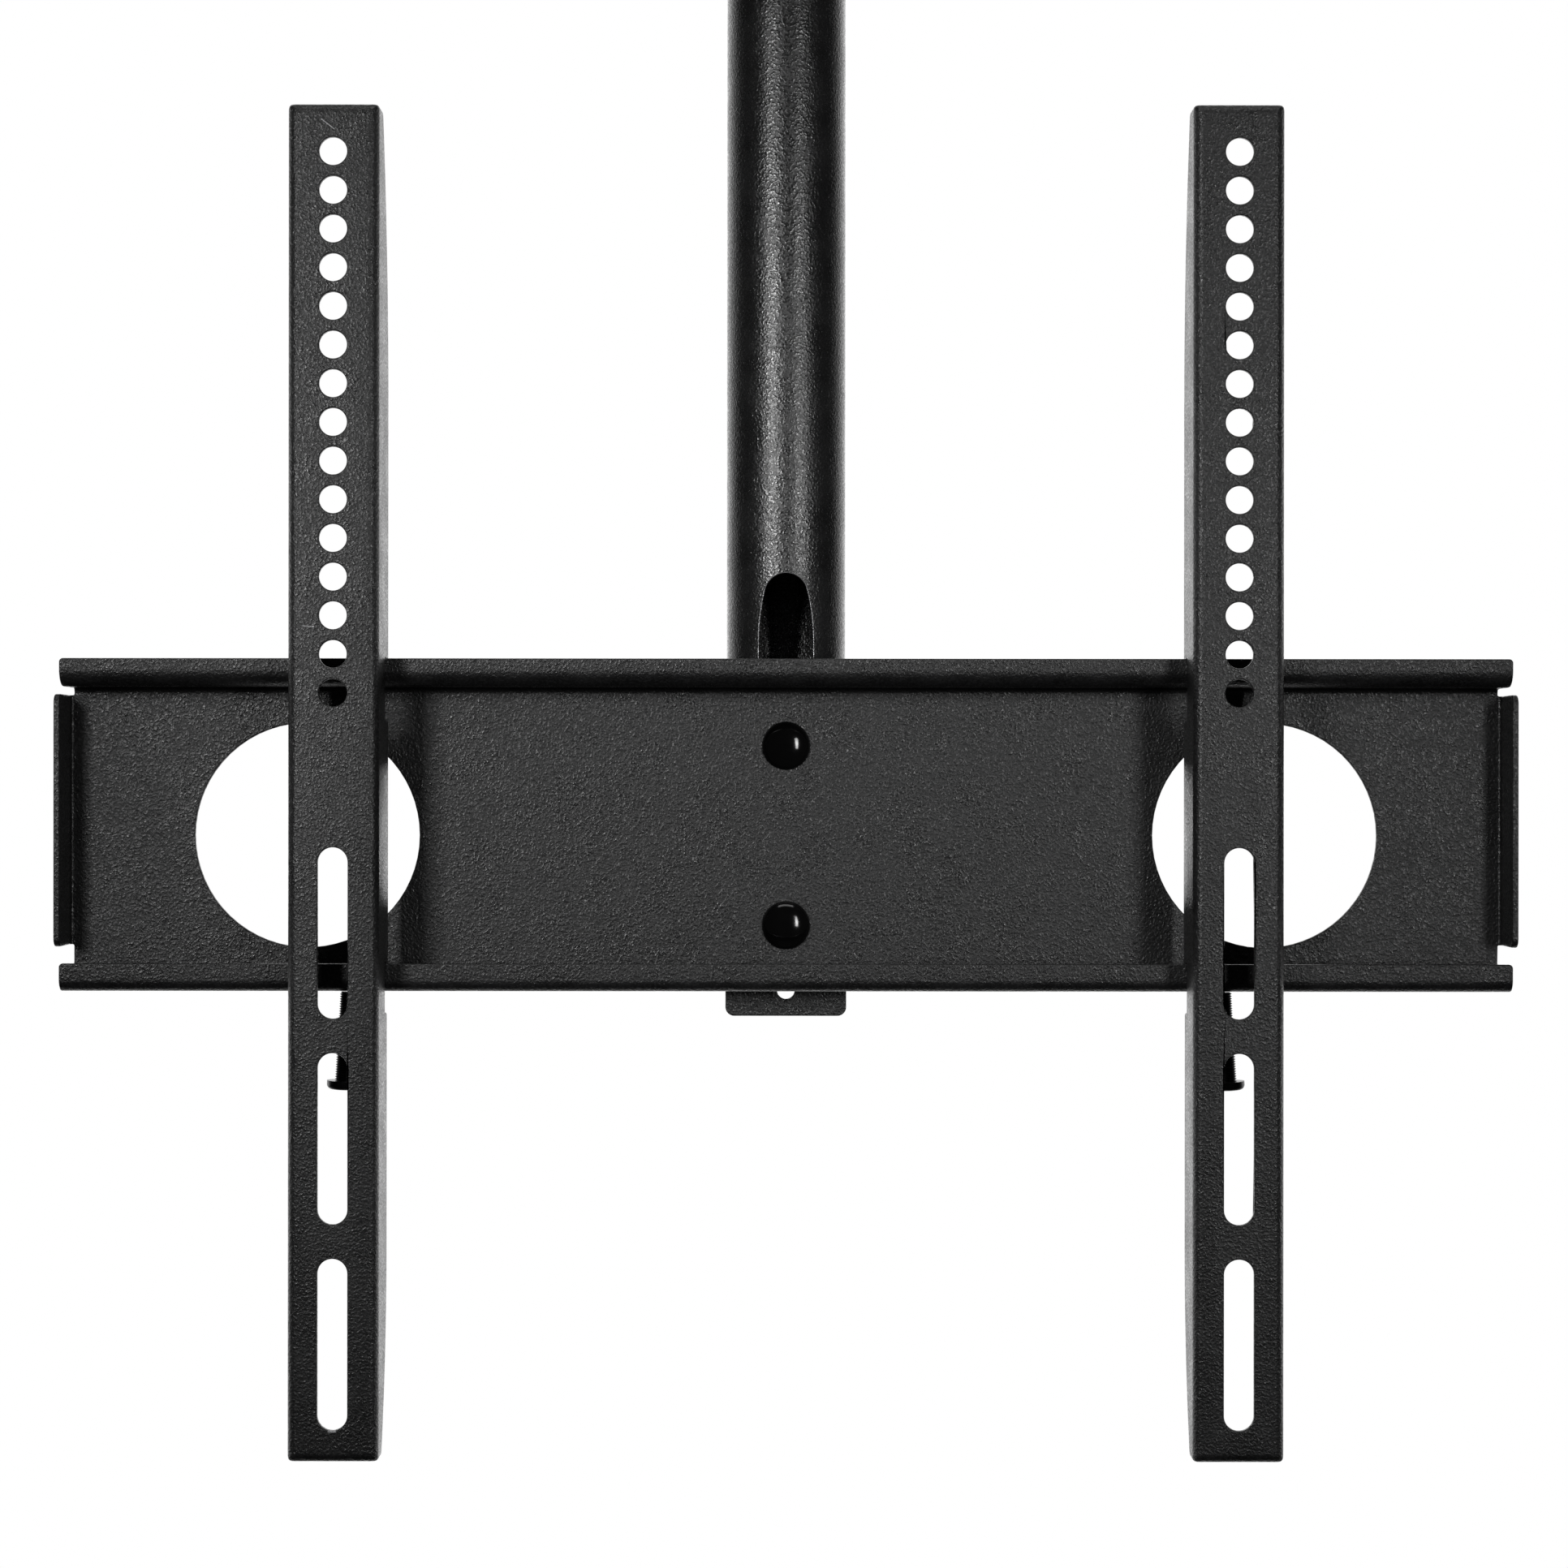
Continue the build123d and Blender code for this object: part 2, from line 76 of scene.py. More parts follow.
slot_of_node = {part["node"]: part["material_slot"] for part in frame["record"]["subparts"]}
plate_middle = joints["tilt"]["pos_m"][2]
arms_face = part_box("left_arm")[0].y
print(f"{len(frame['nodes'])} nodes, box {[round(v * 1000, 1) for v in cad_high - cad_low]} mm")

# %% [markdown]
# ## Shader maths as expressions
# A finish is a small network of nodes. Dragging wires by hand is slow to read back, so one class wraps a
# socket and gives it the arithmetic operators: `0.4 + 0.1 * grain` adds the Math nodes by itself. Every
# other node comes from one method, which takes the node's type, its settings and what goes into its
# sockets.

# %% A socket that can be added and multiplied
class Wire:
    """Output socket of a node, with + - * and their reflected forms written as Math nodes."""

    def __init__(self, socket):
        self.socket = socket

    def node(self, kind, settings=None, **inputs):
        """Adds a node to the same tree: settings are attributes, inputs are values or wires by socket."""
        return add_node(self.socket.id_data, kind, settings, **inputs)

    def math(self, operation, first, second):
        """Math node on two numbers or wires."""
        made = self.node("ShaderNodeMath", {"operation": operation})
        for slot, value in zip(made.inputs, (first, second)):
            feed(slot, value)
        return Wire(made.outputs[0])

    def __add__(self, other):
        return self.math("ADD", self, other)

    def __radd__(self, other):
        return self.math("ADD", other, self)

    def __sub__(self, other):
        return self.math("SUBTRACT", self, other)

    def __rsub__(self, other):
        return self.math("SUBTRACT", other, self)

    def __mul__(self, other):
        return self.math("MULTIPLY", self, other)

    def __rmul__(self, other):
        return self.math("MULTIPLY", other, self)


def feed(slot, value):
    """Links a wire to a socket, or sets the socket's own value."""
    if isinstance(value, Wire):
        slot.id_data.links.new(value.socket, slot)
    else:
        slot.default_value = value


def add_node(tree, kind, settings=None, **inputs):
    """Adds one node to a tree, with its settings made first and its sockets fed by name."""
    made = tree.nodes.new(kind)
    for name, value in (settings or {}).items():
        setattr(made, name, value)
    for name, value in inputs.items():
        feed(made.inputs[name.replace("_", " ")], value)
    return made


print("wires ready:", [name for name in vars(Wire) if name.startswith("__r")])

# %% [markdown]
# ## Words for a finish
# Every finish on this mount is said in the same few words: noise of one size, a stretch of its middle, a
# colour between two others, and a relief that tilts the surface's normal. Each word is one node, so the
# finishes below stay as short as a recipe.

# %% Grain, stretch, mix and relief
mix_dark, mix_light, mix_result = 6, 7, 2
cool_tint = 1.03


def new_finish(name):
    """Empty material, with its shader and the Object coordinates wire."""
    finish = bpy.data.materials.new(name)
    finish.use_nodes = True
    shader = finish.node_tree.nodes["Principled BSDF"]
    place = Wire(add_node(finish.node_tree, "ShaderNodeTexCoord").outputs["Object"])
    return finish, shader, place


def grain_of(place, size, detail=2.0, twist=0.0):
    """Noise from 0 to 1 with features of one size, in metres, and optionally twisted into wrinkles."""
    made = place.node("ShaderNodeTexNoise", Vector=place, Scale=1 / size, Detail=detail, Distortion=twist)
    return Wire(made.outputs["Fac"])


def spread(value, low, high):
    """Stretches the middle of a value to the full range from 0 to 1."""
    made = value.node("ShaderNodeMapRange", {"interpolation_type": "SMOOTHSTEP"},
                      Value=value, From_Min=low, From_Max=high)
    return Wire(made.outputs["Result"])


def between(factor, dark, light):
    """Colour between two colours, by the numbered colour sockets of a Mix node."""
    made = factor.node("ShaderNodeMix", {"data_type": "RGBA"})
    feed(made.inputs["Factor"], factor)
    feed(made.inputs[mix_dark], dark)
    feed(made.inputs[mix_light], light)
    return Wire(made.outputs[mix_result])


def relief(height, depth, strength=1.0):
    """Normal of a surface whose height is a wire, over a depth in metres."""
    made = height.node("ShaderNodeBump", Strength=strength, Distance=depth, Height=height)
    return Wire(made.outputs["Normal"])


def grey(value):
    """Neutral colour, a trace cooler than pure grey."""
    return (value, value, cool_tint * value, 1.0)


print("a dark grey is", grey(0.014))

# %% [markdown]
# ## Marks on the left arm
# The left arm of this mount is not quite new: two fine scratches cross its coat. A short pale mark is also painted
# at the rim of its last slot. A painted picture of them would need an image, so each mark is a mask worked out
# from the object's own coordinates: a short straight line that stays on the arm when the arm slides.

# %% A scratch as a mask
# pale tone of the two scratches and of the short mark painted at the rim of the last slot
pale_mark_tone = grey(0.40)
mark_end = 0.0006
mark_depth = 0.0012
left_arm_marks = (
    ((-0.1505, 0.2321), (-0.1458, 0.2284), 0.00024),
    ((-0.1566, 0.0682), (-0.1522, 0.0678), 0.00020),
    # a short pale mark painted at the rim of the last slot
    ((-0.1481, -0.1920), (-0.1449, -0.1920), 0.00065),
)


def scratch(place, start, end, half_width):
    """Mask of a straight mark on an arm's front, from (x, z) to (x, z) about the plate's middle: a product
    of smooth steps in the distance across the line, along it and behind the arm's face."""
    length = math.dist(start, end)
    dx, dz = (end[0] - start[0]) / length, (end[1] - start[1]) / length
    origin = np.array([start[0], arms_face, start[1] + plate_middle])

    def reach(*direction):
        made = place.node("ShaderNodeVectorMath", {"operation": "DOT_PRODUCT"})
        feed(made.inputs[0], place)
        feed(made.inputs[1], direction)
        return Wire(made.outputs["Value"]) - float(origin @ direction)

    across, along, behind = reach(-dz, 0, dx), reach(dx, 0, dz), reach(0, 1, 0)
    line = spread(across, -half_width, 0) * spread(across, half_width, 0)
    ends = spread(along, 0, mark_end) * spread(along, length, length - mark_end)
    return line * ends * spread(behind, mark_depth, mark_depth / 2)


print(len(left_arm_marks), "marks on the left arm")

# %% [markdown]
# ## Black powder coat
# The coat is a baked powder, and it looks like fine black leather: pebbles about half a millimetre
# across that each catch a point of light. A painted picture of specks would look flat as soon as the
# light moves, so the pebbles are height, fed through a Bump node, and the light does most of the rest.
# The colour follows the pebbles too: their hollows are painted darker than their tops, which is painted shade, and
# it drifts over patches the size of a coin, where the coat lies thicker or thinner. The pole's coat has flowed out
# more than that of the sheets, so it is glossier and its pebbles are lower.

# %% Powder coat
# the darkest colour is painted shade in the pebbles' hollows; the lightest is the coat's own black
hollow_painted_shade = grey(0.002)
coat_top = grey(0.014)
bare_steel = grey(0.55)
pebble_size, pebble_detail, pebble_twist = 0.00085, 1.5, 0.4
pebble_tops = (0.38, 0.68)
patch_size, patch_detail = 0.012, 3.0
patch_range = (0.3, 0.7)
# shares of the colour: painted shade from the pebbles, and the coat's own drifts
painted_shade_share, patch_share = 0.8, 0.2
hollow_dulling = 0.20
patch_dulling = 0.08
sheet_look = {"rough": 0.24, "shine": 0.5, "pebble_height": 0.00030}
tube_look = {"rough": 0.14, "shine": 0.8, "pebble_height": 0.00022}


def powder_coat(name, rough, shine, pebble_height, worn=False, marks=()):
    """Fine leathery black coat: pebbles as bump, duller hollows with painted shade in them, small drifts, steel
    where it is worn off, and a paler line at each mark."""
    finish, shader, place = new_finish(name)
    shader.inputs["Specular IOR Level"].default_value = shine
    pebbles = grain_of(place, pebble_size, pebble_detail, pebble_twist)
    patches = spread(grain_of(place, patch_size, patch_detail), *patch_range)
    # the pebble mask sets the painted shade in the colour and the dulling in the roughness
    tops_for_painted_shade_and_gloss = spread(pebbles, *pebble_tops)
    colour = between(painted_shade_share * tops_for_painted_shade_and_gloss + patch_share * patches, hollow_painted_shade, coat_top)
    if worn:
        wear = Wire(place.node("ShaderNodeAttribute", {"attribute_name": "wear"}).outputs["Fac"])
        colour = between(wear, colour, bare_steel)
        feed(shader.inputs["Metallic"], wear)
    for mark in marks:
        colour = between(scratch(place, *mark), colour, pale_mark_tone)
    feed(shader.inputs["Base Color"], colour)
    feed(shader.inputs["Roughness"], rough + hollow_dulling * (1 - tops_for_painted_shade_and_gloss) + patch_dulling * patches)
    feed(shader.inputs["Normal"], relief(pebbles, pebble_height))
    return finish


coat = powder_coat("powder_coat_finish", **sheet_look)
tube_coat = powder_coat("tube_coat_finish", **tube_look, worn=True)
marked_coat = powder_coat("marked_coat_finish", **sheet_look, marks=left_arm_marks)
print("made", coat.name, tube_coat.name, "and", marked_coat.name)

# %% [markdown]
# ## Fasteners and washers
# The dome bolts are smooth gloss black and mirror the studio lights. The other bolts, nuts and screws are
# satin black oxide, a little brighter than the coat. The washers that rub, at the tilt and at the swivel,
# are black nylon, which is matt and slightly cloudy. Each finish is a cloud of tone and a fine relief, and
# their sizes make most of the difference.

# %% Gloss black, black oxide and nylon
enamel_tones = (grey(0.003), grey(0.006))
haze_size, peel_size = 0.004, 0.0022
enamel_rough, haze_dulling = 0.08, 0.06
enamel_relief = {"depth": 0.00004, "strength": 0.6}
oxide_tones = (grey(0.012), grey(0.04))
oxide_cloud, oxide_grain = 0.0035, 0.0003
oxide_metal, metal_gain = 0.2, 0.3
oxide_rough, grain_dulling = 0.28, 0.15
oxide_relief = {"depth": 0.00003, "strength": 0.5}
nylon_tones = (grey(0.03), grey(0.055))
nylon_cloud = 0.002
nylon_rough, cloud_dulling = 0.5, 0.15
nylon_relief = {"depth": 0.00004, "strength": 0.4}


def gloss_black():
    """Smooth black enamel with a faint orange peel."""
    finish, shader, place = new_finish("gloss_black_finish")
    peel = grain_of(place, peel_size, detail=1.0)
    haze = grain_of(place, haze_size, detail=2.0)
    feed(shader.inputs["Base Color"], between(haze, *enamel_tones))
    feed(shader.inputs["Roughness"], enamel_rough + haze_dulling * haze)
    feed(shader.inputs["Normal"], relief(peel, **enamel_relief))
    return finish


def black_oxide():
    """Satin black steel, its tone cloudy and its surface finely grained."""
    finish, shader, place = new_finish("black_oxide_finish")
    cloud = grain_of(place, oxide_cloud, detail=3.0)
    fine = grain_of(place, oxide_grain, detail=1.0)
    feed(shader.inputs["Base Color"], between(cloud, *oxide_tones))
    feed(shader.inputs["Metallic"], oxide_metal + metal_gain * cloud)
    feed(shader.inputs["Roughness"], oxide_rough + grain_dulling * fine)
    feed(shader.inputs["Normal"], relief(fine, **oxide_relief))
    return finish


def black_nylon():
    """Matt moulded nylon."""
    finish, shader, place = new_finish("nylon_finish")
    cloud = grain_of(place, nylon_cloud, detail=3.0)
    feed(shader.inputs["Base Color"], between(cloud, *nylon_tones))
    feed(shader.inputs["Roughness"], nylon_rough + cloud_dulling * cloud)
    feed(shader.inputs["Normal"], relief(cloud, **nylon_relief))
    return finish


enamel = gloss_black()
oxide = black_oxide()
nylon = black_nylon()
finish_of_slot = {"powder_coat": coat, "gloss_black": enamel, "black_hardware": oxide, "nylon": nylon}
print("finishes", [finish.name for finish in finish_of_slot.values()])

# %% [markdown]
# ## Every node gets its finish
# The packed record says which finish each node has. A node that stays in the picture only needs its
# material slot filled, and a copy of a node takes the finish along. Nodes that are remade below are hidden
# by their new pieces.

# %% Give the nodes their finishes
for name, node in frame["nodes"].items():
    node.material_slots[0].material = finish_of_slot[slot_of_node[name]]
frame["nodes"]["left_arm"].material_slots[0].material = marked_coat
print("finished", len(slot_of_node), "nodes")

# %% [markdown]
# ## Two bends as the press leaves them
# On the real mount the corners of each arm are squarer than a plain arc, and the bend under the upper lip of
# the rail plate is rounder than the packed one, so that a broad dark band shows below the lip. New
# meshes would lose all the holes and slots, so the points of the packed ones are moved by a formula, and
# both forms stay inside the same outline.

# %% Square up the arms' corners and roll the upper lip
arm_nodes = ("left_arm", "right_arm")
arm_corner = 0.0034
corner_power = 5
lip_height = 0.0092
lip_bend = 0.0040
lip_sheet = 0.0020
lip_gain = 0.0015
slack = 1e-5
tiny = 1e-9


def mesh_points(mesh):
    """All points of a mesh as rows of x, y and z."""
    flat = np.empty(3 * len(mesh.vertices))
    mesh.vertices.foreach_get("co", flat)
    return flat.reshape(-1, 3)


def square_up(points, low, high):
    """Draws out the corners of an arm: past the start of a corner by u and v, a circle's root of u2 + v2
    becomes the fifth root of u5 + v5."""
    centre, half = (low + high) / 2, (high - low) / 2
    past = np.maximum(np.abs(points - centre) - (half - arm_corner), 0)[:, ::2]
    round_reach = np.hypot(past[:, 0], past[:, 1])
    square_reach = np.maximum((past ** corner_power).sum(axis=1) ** (1 / corner_power), tiny)
    gain = np.where(past.min(axis=1) > 0, round_reach / square_reach - 1, 0)
    points[:, ::2] += gain[:, None] * past * np.sign(points - centre)[:, ::2]
    return points


def roll_lip(points, low, high):
    """Rolls the bend of the upper lip wider: every point of the arc moves out from the centre by the gain,
    and the centre moves up and back by the same gain, so both flat sides stay in their planes."""
    centre = np.array([low[1] + lip_bend, high[2] - lip_height + lip_bend])
    arm = points[:, 1:] - centre
    reach = np.hypot(arm[:, 0], arm[:, 1])
    in_sheet = np.abs(reach - lip_bend + lip_sheet / 2) < lip_sheet / 2 + slack
    in_bend = (arm.max(axis=1) < slack) & in_sheet
    grown = centre + lip_gain + arm * (1 + lip_gain / np.maximum(reach, slack))[:, None]
    points[:, 1:] = np.where(in_bend[:, None], grown, points[:, 1:])
    return points


reshaped_by = {"left_arm": square_up, "right_arm": square_up, "rail_plate": roll_lip}
print("reshaped pieces", list(reshaped_by))

# %% [markdown]
# ## Soft edges on the sheet metal
# A punched and powder-coated edge is never sharp: the powder draws back and leaves a radius of a few
# tenths of a millimetre, and that radius is what catches the light round each hole. The packed meshes
# have knife edges, so each piece is copied, its loose triangles are merged, flat triangles are
# dissolved into whole faces, and a Bevel modifier rounds what is left.

# %% Round the edges of the coated pieces
weld_distance = 1e-6
flat_angle = math.radians(0.3)
edge_angle = math.radians(40)
sheet_edge = 0.00045
turned_edge = 0.00025
sheet_nodes = arm_nodes + ("rail_plate", "tilt_bracket", "tilt_yoke", "ceiling_plate")
turned_nodes = ("ceiling_socket", "pole_collar", "pivot_washers", "tilt_lock_washers", "plate_washers",
                "friction_washers")


def dress(piece, node_name):
    """Puts a finished piece in the place of a node, on the node's body, and hides the node."""
    bpy.context.scene.collection.objects.link(piece)
    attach(piece, body_of_node[node_name])
    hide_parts(node_name)


def soft_edges(node_name, width):
    """Copy of a node with its edges rounded, in the node's place."""
    mesh = frame["nodes"][node_name].data.copy()
    mesh.name = node_name + "_soft"
    if node_name in reshaped_by:
        corners = [np.array(corner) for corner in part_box(node_name)]
        points = reshaped_by[node_name](mesh_points(mesh), *corners)
        mesh.vertices.foreach_set("co", points.ravel())
    form = bmesh.new()
    form.from_mesh(mesh)
    bmesh.ops.remove_doubles(form, verts=form.verts, dist=weld_distance)
    bmesh.ops.dissolve_limit(form, angle_limit=flat_angle, verts=form.verts, edges=form.edges)
    for face in form.faces:
        face.smooth = True
    form.to_mesh(mesh)
    form.free()
    if "custom_normal" in mesh.attributes:
        mesh.attributes.remove(mesh.attributes["custom_normal"])
    piece = bpy.data.objects.new(node_name + "_soft", mesh)
    bevel = piece.modifiers.new("soft_edges", "BEVEL")
    bevel.width = width
    bevel.segments = 2
    bevel.limit_method = "ANGLE"
    bevel.angle_limit = edge_angle
    bevel.use_clamp_overlap = False
    bevel.harden_normals = True
    dress(piece, node_name)
    return piece


for name in sheet_nodes + turned_nodes:
    piece = soft_edges(name, sheet_edge if name in sheet_nodes else turned_edge)
    print(piece.name, len(piece.data.polygons), "faces before rounding")

# %% [markdown]
# ## Surfaces over two parameters
# Screws, nuts and weld beads are all one kind of surface: rows of points along the part, and each row a
# closed ring round it. A row whose points all meet is a pole, which closes the end. Writing them as
# whole arrays keeps the formula in sight, and a thread is then only a radius that depends on both the
# height and the angle.

# %% From grids of points to a piece
def ring_angles(count):
    """Angles of one closed ring, without the repeated end."""
    return np.linspace(0, 2 * np.pi, count, endpoint=False)


def rings(radius, height, angle):
    """Grid of points: each row a ring of the given radius and height, both of which may vary with angle."""
    radius, height, angle = np.broadcast_arrays(radius, height, angle)
    return np.stack([radius * np.cos(angle), radius * np.sin(angle), height], axis=-1)


def turned(profile, angle):
    """Surface of revolution about Z through (radius, height) points."""
    radius, height = np.array(profile, dtype=float).T
    return rings(radius[:, None], height[:, None], angle)


def placed(grid, origin, along, side):
    """Moves a grid so that its Z runs along one direction and its X points to one side."""
    along = np.array(along, dtype=float) / np.linalg.norm(along)
    side = np.array(side, dtype=float)
    side = side - along * (side @ along)
    side = side / np.linalg.norm(side)
    axes = np.stack([side, np.cross(along, side), along])
    return np.array(origin) + grid @ axes


def make_piece(name, grids, finish, sharp=25, sheets=()):
    """Mesh object from grids of closed rings, and sheets of open rows, joined where they meet, with its
    faces outwards and edges over the sharp angle, in degrees, left sharp."""
    points = []
    faces = []
    count = 0
    for grid, gap in [(grid, 0) for grid in grids] + [(sheet, 1) for sheet in sheets]:
        rows, ring = grid.shape[:2]
        row, column = np.meshgrid(np.arange(rows - 1), np.arange(ring - gap), indexing="ij")
        after = (column + 1) % ring
        quads = np.stack([row * ring + column, row * ring + after,
                          (row + 1) * ring + after, (row + 1) * ring + column], axis=-1)
        points.append(grid.reshape(-1, 3))
        faces.append(count + quads.reshape(-1, 4))
        count += rows * ring
    mesh = bpy.data.meshes.new(name)
    mesh.from_pydata(np.concatenate(points).tolist(), [], np.concatenate(faces).tolist())
    form = bmesh.new()
    form.from_mesh(mesh)
    bmesh.ops.remove_doubles(form, verts=form.verts, dist=weld_distance)
    bmesh.ops.dissolve_degenerate(form, dist=weld_distance, edges=form.edges)
    bmesh.ops.recalc_face_normals(form, faces=form.faces)
    form.to_mesh(mesh)
    form.free()
    mesh.materials.append(finish)
    mesh.shade_smooth()
    mesh.set_sharp_from_angle(angle=math.radians(sharp))
    return bpy.data.objects.new(name, mesh)


print("one ring of 4 is", np.degrees(ring_angles(4)))

# %% [markdown]
# ## The cable opening
# A long opening is cut in the front of the pole for the cables. Its outline is a small crown at the top, two
# bowed flanks, straight sides and a round foot. All but the sides are arcs, so the outline is known at any
# offset, which gives its rounded lip for nothing.

# %% Outline of the cable opening
opening_half = 0.0095
opening_crown = 0.0075
opening_flank = 0.0240
opening_top = 0.0909
opening_foot = 0.0300
arc_steps = 24


def opening_side(offset):
    """Right half of the opening from top to foot, grown by an offset: crown, bowed flank and foot are arcs,
    each a centre plus radius x (cos, sin), and the straight side joins the last two."""
    rise = opening_flank - opening_crown
    bow = (opening_half ** 2 + rise ** 2 - opening_crown ** 2) / (2 * (opening_half - opening_crown))
    lean = math.atan2(rise, bow - opening_half)
    arcs = (
        (0, opening_top - opening_crown, opening_crown, np.linspace(np.pi / 2, lean, arc_steps)),
        (opening_half - bow, opening_top - opening_flank, bow, np.linspace(lean, 0, arc_steps)[1:]),
        (0, opening_foot + opening_half, opening_half, np.linspace(0, -np.pi / 2, arc_steps)),
    )
    half = np.concatenate([x + (r + offset) * np.cos(turn) for x, _, r, turn in arcs])
    height = np.concatenate([z + (r + offset) * np.sin(turn) for _, z, r, turn in arcs])
    return np.maximum(half, 0), plate_middle + height


def opening_ring(radius, offset):
    """Closed outline of the opening on a cylinder: depth = root of radius squared less half width squared."""
    half, height = opening_side(offset)
    half = np.concatenate([half, -half[-2:0:-1]])
    height = np.concatenate([height, height[-2:0:-1]])
    return np.stack([half, -np.sqrt(radius ** 2 - half ** 2), height], axis=-1)


print(f"opening {2000 * opening_half:.1f} mm wide, {1000 * (opening_top - opening_foot):.1f} mm high")

# %% [markdown]
# ## The pole
# The pole is a drawn tube. The packed tube is made of flat strips, which would crease as soon as its cut
# edge is rounded, so the tube is worked out anew. Each wall is a sheet over height and angle: a row starts at
# one edge of the opening and runs round the back to the other edge, and above and below the opening the
# two ends meet in a seam. The cut is a grid of its own, the outline of the opening carried from the outer
# wall to the inner one with a small lip on both. Powder draws back from such a lip, so it carries a mark
# named wear, and the finish shows steel there.

# %% Make the pole
tube_low, tube_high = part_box("pole")
tube_radius = tube_high.x
tube_wall = 0.0020
tube_bore = tube_radius - tube_wall
tube_lip = 0.00035
tube_sharp = 40
lip_turn = np.linspace(0, np.pi / 2, 6)
edge_share = np.array([0, 0.0012, 0.004])
tube_share = np.concatenate([edge_share, np.linspace(0.01, 0.99, 121), 1 - edge_share[::-1]])
wear_rate = 4
bore_start = 0.99


def tube_sheet(radius):
    """Wall of the tube: angle = edge + share x (full turn - 2 edge), where the edge's sine is half width
    over radius."""
    half, height = opening_side(tube_lip)
    half = np.concatenate([[0], half, [0]])[:, None]
    height = np.concatenate([[tube_high.z - tube_lip], height, [tube_low.z + tube_lip]])[:, None]
    edge = np.arcsin(half / radius)
    angle = edge + tube_share * (2 * np.pi - 2 * edge)
    return rings(radius, height, angle - np.pi / 2)


def lip_rows(low, high):
    """Radius and inset across a wall with both lips rounded: a quarter turn at each side."""
    sink = tube_lip * (1 - np.cos(lip_turn))
    inset = tube_lip * (1 - np.sin(lip_turn))
    return list(zip(high - sink, inset)) + list(zip(low + sink[::-1], inset[::-1]))


wall_rows = lip_rows(tube_bore, tube_radius)
end_angle = 2 * np.pi * tube_share[:-1] - np.pi / 2
cut = np.stack([opening_ring(radius, inset) for radius, inset in wall_rows])
low_end = turned([(radius, tube_low.z + inset) for radius, inset in wall_rows], end_angle)
high_end = turned([(radius, tube_high.z - inset) for radius, inset in wall_rows], end_angle)
tube = make_piece("pole_tube", [cut, low_end, high_end], tube_coat, tube_sharp,
                  sheets=[tube_sheet(tube_radius), tube_sheet(tube_bore)])
spots = mesh_points(tube.data)
depth = (tube_radius - np.hypot(spots[:, 0], spots[:, 1])) / tube_lip
wear = tube.data.attributes.new("wear", "FLOAT", "POINT")
wear.data.foreach_set("value", np.clip(wear_rate * depth, 0, 1) * (depth < bore_start))
dress(tube, "pole")
print(tube.name, len(tube.data.polygons), "faces")

# %% [markdown]
# ## Threads and hexagons
# A thread is a ridge wound round a rod. Unrolled, it is a triangle wave of height over pitch minus angle
# over a full turn, cut flat at crest and root. A hexagon is a radius too: the distance to the flat, which
# is the inner radius over the cosine of the angle from the flat's middle. Its corners are turned off to a
# cone, so the edge of each flat comes out as the usual curve.

# %% Thread, hexagon and square
thread_angle = ring_angles(48)
hex_angle = ring_angles(72)
steps_per_pitch = 10
thread_depth = 0.61
crest_gain, crest_cut = 1.3, 0.15
hex_circle = 0.96
hex_cone = math.radians(30)


def thread_rows(outer_r, pitch, start, stop, tip):
    """Rings of a thread: crest less depth times a clipped triangle wave, coned off over the tip's length."""
    rows = int((stop - start) / pitch * steps_per_pitch)
    height = np.linspace(start, stop, rows)[:, None]
    wave = np.abs(2 * ((height / pitch - thread_angle / (2 * np.pi)) % 1) - 1)
    depth = thread_depth * pitch * np.clip(crest_gain * wave - crest_cut, 0, 1)
    radius = np.minimum(outer_r - depth, outer_r - tip + np.maximum(stop - height, 0))
    return rings(radius, height, thread_angle)


def flat_radius(across, angle):
    """Radius of a hexagon with a corner at angle 0: half its width over the cosine from a flat's middle."""
    return across / 2 / np.cos(angle % (np.pi / 3) - np.pi / 6)


def hex_rows(across, low, high, angle):
    """Four rings of a hexagon with both ends turned to a cone: end circle, flat edges, end circle."""
    circle = hex_circle * across / 2
    flat = flat_radius(across, angle)
    drop = (flat - circle) * math.tan(hex_cone)
    ends = np.full_like(angle, circle)
    foot, top = np.full_like(angle, low), np.full_like(angle, high)
    return rings(np.stack([ends, flat, flat, ends]), np.stack([foot, low + drop, high - drop, top]), angle)


def square_rows(side, low, high, angle):
    """Two rings of a square bar: half its side over the larger of |cos| and |sin|."""
    radius = side / 2 / np.maximum(np.abs(np.cos(angle)), np.abs(np.sin(angle)))
    return rings(np.stack([radius, radius]), np.array([[low], [high]]), angle)


def pole_row(height, angle):
    """Ring of no size, which closes an end."""
    return rings(np.zeros((1, len(angle))), height, angle)


print(f"corner over flat of a hexagon: {flat_radius(2, 0.0):.4f}")

# %% [markdown]
# ## Lock screws
# A pan head screw hangs under each arm, with its threaded end under the lower rail and its head down. In
# the photograph its thread shows as a fine saw edge in the arm's slot. The head has a cross recess for a
# driver. Its axis comes from the joint it travels on, and its ends from the packed screw.

# %% Make the lock screws
m5_pitch = 0.0008
m5_radius = 0.0025
m5_tip = 0.0005
pan_radius = 0.0050
pan_height = 0.0029
pan_round = 0.0017
pan_rows, round_rows = 28, 8
head_margin = 0.001
cross_width = 0.0011
cross_length = 0.0046
cross_depth = 0.0017
cross_wall = 0.0002
cross_slope = 0.6


def cross_recess(radius, angle):
    """Depth of a cross recess: full inside both arms of a cross, with steep walls and a shallower rim."""
    x = np.abs(radius * np.cos(angle))
    y = np.abs(radius * np.sin(angle))
    long, short = np.maximum(x, y), np.minimum(x, y)
    within = np.clip((cross_width / 2 - short) / cross_wall, 0, 1)
    within = within * np.clip((cross_length / 2 - long) / cross_wall, 0, 1)
    return cross_depth * within * (1 - cross_slope * np.clip(2 * long / cross_length, 0, 1))


